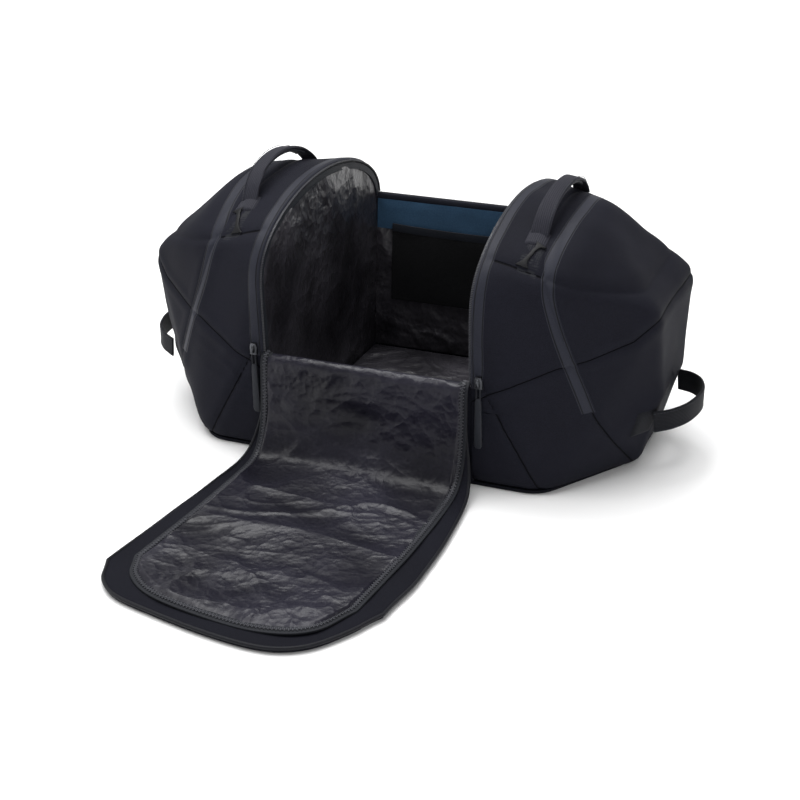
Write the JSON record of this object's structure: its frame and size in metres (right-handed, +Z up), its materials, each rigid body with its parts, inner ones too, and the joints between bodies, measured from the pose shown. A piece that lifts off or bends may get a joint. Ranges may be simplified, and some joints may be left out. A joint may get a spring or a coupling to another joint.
{
  "type": "snowboard bag",
  "caption": "Padded travel bag with a main compartment and zipped end pockets, its long front cover folded open.",
  "frame": {"origin": "middle of the flat bottom of the bag's body, on the surface that it stands on; the open cover lies in front of it", "axes": "+X along the bag's length towards the right end pocket, +Y from the front to the back, +Z up"},
  "size_m": [0.756, 0.8, 0.344],
  "materials": {
    "shell_fabric": "matte coated plain weave",
    "coated_lining": "shiny coated",
    "zip_band": "matte rubberised tape",
    "webbing": "matte webbing",
    "blue_lining": "matte woven",
    "mesh": "matte net",
    "board": "matte",
    "dark_metal": "dark satin plating",
    "puller_rubber": "matte moulded"
  },
  "bodies": {
    "bag": {"base_panel": "shell_fabric", "base_board": "board", "floor_lining": "coated_lining", "front_wall": "shell_fabric", "back_wall": "shell_fabric", "back_zip_binding": "zip_band", "back_blue_lining": "blue_lining", "back_lining": "coated_lining", "mesh_pocket": "mesh", "mesh_pocket_binding": "zip_band", "right_pocket_divider": "coated_lining", "right_pocket_shell": "shell_fabric", "right_pocket_zip_band": "zip_band", "right_main_zip_tape": "zip_band", "right_top_handle_foot_front": "webbing", "right_top_handle_foot_back": "webbing", "right_lash_patch": "webbing", "right_end_handle_foot_front": "webbing", "right_end_handle_foot_back": "webbing", "right_end_stud": "dark_metal", "left_pocket_divider": "coated_lining", "left_pocket_shell": "shell_fabric", "left_pocket_zip_band": "zip_band", "left_main_zip_tape": "zip_band", "left_top_handle_foot_front": "webbing", "left_top_handle_foot_back": "webbing", "left_lash_patch": "webbing", "left_end_handle_foot_front": "webbing", "left_end_handle_foot_back": "webbing", "left_end_stud": "dark_metal"},
    "right_door": {"right_pocket_door": "shell_fabric"},
    "right_top_handle": {"right_top_handle": "webbing"},
    "right_end_handle": {"right_end_handle": "webbing"},
    "right_main_slider": {"right_main_slider": "dark_metal"},
    "right_main_puller": {"right_main_puller": "puller_rubber"},
    "right_pocket_slider": {"right_pocket_slider": "dark_metal"},
    "right_pocket_puller": {"right_pocket_puller": "puller_rubber"},
    "left_door": {"left_pocket_door": "shell_fabric"},
    "left_top_handle": {"left_top_handle": "webbing"},
    "left_end_handle": {"left_end_handle": "webbing"},
    "left_main_slider": {"left_main_slider": "dark_metal"},
    "left_main_puller": {"left_main_puller": "puller_rubber"},
    "left_pocket_slider": {"left_pocket_slider": "dark_metal"},
    "left_pocket_puller": {"left_pocket_puller": "puller_rubber"},
    "cover_fold": {"cover_fold_panel": "shell_fabric"},
    "cover_lower": {"cover_lower_panel": "shell_fabric"},
    "cover_middle": {"cover_middle_panel": "shell_fabric"},
    "cover_end": {"cover_end_panel": "shell_fabric"}
  },
  "joints": [
    {"name": "cover_fold", "type": "hinge", "parent": "bag", "child": "cover_fold", "pos_m": [0, -0.1915, 0.1325], "axis": [-1, 0, 0], "range_deg": [0, 178]},
    {"name": "cover_lower_bend", "type": "hinge", "parent": "cover_fold", "child": "cover_lower", "pos_m": [0, -0.1935, 0.006], "axis": [-1, 0, 0], "range_deg": [-38.5, 0]},
    {"name": "cover_middle_bend", "type": "hinge", "parent": "cover_lower", "child": "cover_middle", "pos_m": [0, -0.2935, 0.006], "axis": [-1, 0, 0], "range_deg": [0, 40.5]},
    {"name": "cover_end_bend", "type": "hinge", "parent": "cover_middle", "child": "cover_end", "pos_m": [0, -0.5085, 0.006], "axis": [-1, 0, 0], "range_deg": [0, 32.5]},
    {"name": "right_door_hinge", "type": "hinge", "parent": "bag", "child": "right_door", "pos_m": [0.3355, 0, 0.105], "axis": [0, 1, 0], "range_deg": [0, 80]},
    {"name": "right_main_zip_slide", "type": "slide", "parent": "bag", "child": "right_main_slider", "axis": [0, -0.0529, 0.9986], "range_m": [0, 0.085]},
    {"name": "right_main_puller_swing", "type": "hinge", "parent": "right_main_slider", "child": "right_main_puller", "pos_m": [0.146, -0.1931, 0.1325], "axis": [-1, 0, 0], "range_deg": [0, 70]},
    {"name": "right_pocket_zip_slide", "type": "slide", "parent": "bag", "child": "right_pocket_slider", "axis": [-0.3327, 0.0822, 0.9394], "range_m": [0, 0.05]},
    {"name": "right_pocket_puller_swing", "type": "hinge", "parent": "right_pocket_slider", "child": "right_pocket_puller", "pos_m": [0.2773, 0.1474, 0.0875], "axis": [0.5291, -0.8486, 0], "range_deg": [0, 65]},
    {"name": "right_top_handle_tip", "type": "hinge", "parent": "bag", "child": "right_top_handle", "pos_m": [0.188, 0, 0.3], "axis": [0, 1, 0], "range_deg": [-14, 14]},
    {"name": "right_end_handle_lift", "type": "hinge", "parent": "bag", "child": "right_end_handle", "pos_m": [0.318, 0, 0.07], "axis": [0, -1, 0], "range_deg": [-35, 20]},
    {"name": "left_door_hinge", "type": "hinge", "parent": "bag", "child": "left_door", "pos_m": [-0.3355, 0, 0.105], "axis": [0, -1, 0], "range_deg": [0, 80]},
    {"name": "left_main_zip_slide", "type": "slide", "parent": "bag", "child": "left_main_slider", "axis": [0, -0.0529, 0.9986], "range_m": [0, 0.085]},
    {"name": "left_main_puller_swing", "type": "hinge", "parent": "left_main_slider", "child": "left_main_puller", "pos_m": [-0.146, -0.1931, 0.1325], "axis": [-1, 0, 0], "range_deg": [0, 70]},
    {"name": "left_pocket_zip_slide", "type": "slide", "parent": "bag", "child": "left_pocket_slider", "axis": [0.3327, 0.0822, 0.9394], "range_m": [0, 0.05]},
    {"name": "left_pocket_puller_swing", "type": "hinge", "parent": "left_pocket_slider", "child": "left_pocket_puller", "pos_m": [-0.2773, 0.1474, 0.0875], "axis": [0.5291, 0.8486, 0], "range_deg": [0, 65]},
    {"name": "left_top_handle_tip", "type": "hinge", "parent": "bag", "child": "left_top_handle", "pos_m": [-0.188, 0, 0.3], "axis": [0, 1, 0], "range_deg": [-14, 14]},
    {"name": "left_end_handle_lift", "type": "hinge", "parent": "bag", "child": "left_end_handle", "pos_m": [-0.318, 0, 0.07], "axis": [0, 1, 0], "range_deg": [-35, 20]}
  ],
  "couplings": [
    {"joint": "cover_lower_bend", "follows": "cover_fold", "ratio": -0.2135},
    {"joint": "cover_middle_bend", "follows": "cover_fold", "ratio": 0.2247},
    {"joint": "cover_end_bend", "follows": "cover_fold", "ratio": 0.1798}
  ]
}
